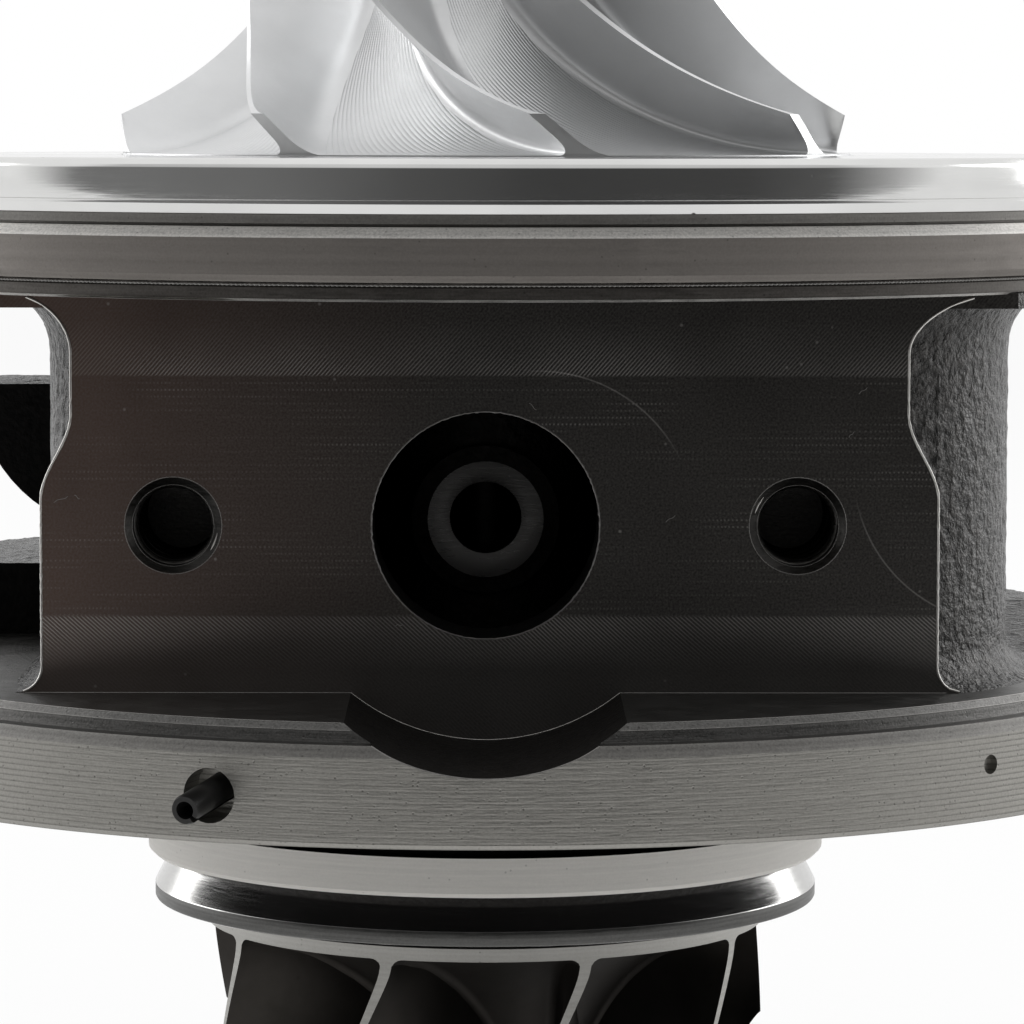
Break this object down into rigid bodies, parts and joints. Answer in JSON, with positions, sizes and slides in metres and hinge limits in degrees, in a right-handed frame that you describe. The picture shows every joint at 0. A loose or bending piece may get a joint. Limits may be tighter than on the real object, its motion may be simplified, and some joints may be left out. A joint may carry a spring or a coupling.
{
  "type": "turbocharger cartridge",
  "caption": "Turbocharger centre cartridge: cast bearing housing with milled oil drain face, backplate, heat shield and a rotor with compressor and turbine wheels.",
  "frame": {"origin": "on the shaft axis, at the lower face of the turbine flange", "axes": "+Z along the shaft towards the compressor end; -Y out of the oil drain face; +X to the right of the drain face as seen from outside"},
  "size_m": [0.123, 0.1237, 0.1347],
  "materials": {
    "cast_housing": "rough cast with milled and turned faces",
    "turned_plate": "bright turned",
    "screw_steel": "plain",
    "seal_rubber": "matt",
    "bearing_bronze": "turned",
    "sheet_steel": "rolled",
    "polished_shield": "polished",
    "black_pin": "blackened",
    "spring_steel": "ground",
    "ground_steel": "ground",
    "turbine_alloy": "cast with ground edges",
    "milled_aluminium": "satin, milled from solid"
  },
  "bodies": {
    "housing": {"bearing_housing": "cast_housing", "backplate": "turned_plate", "backplate_screws": "screw_steel", "backplate_o_ring": "seal_rubber", "thrust_bearing": "bearing_bronze", "thrust_screws": "screw_steel", "oil_deflector": "sheet_steel", "heat_shield": "polished_shield", "spring_pin": "black_pin", "turbine_outer_snap_ring": "spring_steel", "turbine_inner_snap_ring": "spring_steel", "compressor_inner_snap_ring": "spring_steel", "compressor_outer_snap_ring": "spring_steel", "compressor_seal_ring": "spring_steel", "turbine_seal_ring": "spring_steel"},
    "rotor": {"shaft": "ground_steel", "turbine_wheel": "turbine_alloy", "thrust_collar": "ground_steel", "flinger_sleeve": "ground_steel", "compressor_wheel": "milled_aluminium", "shaft_nut": "screw_steel"},
    "compressor_bearing": {"compressor_bearing": "bearing_bronze"},
    "turbine_bearing": {"turbine_bearing": "bearing_bronze"}
  },
  "joints": [
    {"name": "rotor_spin", "type": "hinge", "parent": "housing", "child": "rotor", "pos_m": [0, 0, 0.02], "axis": [0, 0, -1], "continuous": true},
    {"name": "compressor_bearing_spin", "type": "hinge", "parent": "housing", "child": "compressor_bearing", "pos_m": [0, 0, 0.0335], "axis": [0, 0, -1], "continuous": true},
    {"name": "turbine_bearing_spin", "type": "hinge", "parent": "housing", "child": "turbine_bearing", "pos_m": [0, 0, 0.0065], "axis": [0, 0, -1], "continuous": true}
  ],
  "couplings": [
    {"joint": "compressor_bearing_spin", "follows": "rotor_spin", "ratio": 0.25},
    {"joint": "turbine_bearing_spin", "follows": "rotor_spin", "ratio": 0.25}
  ]
}
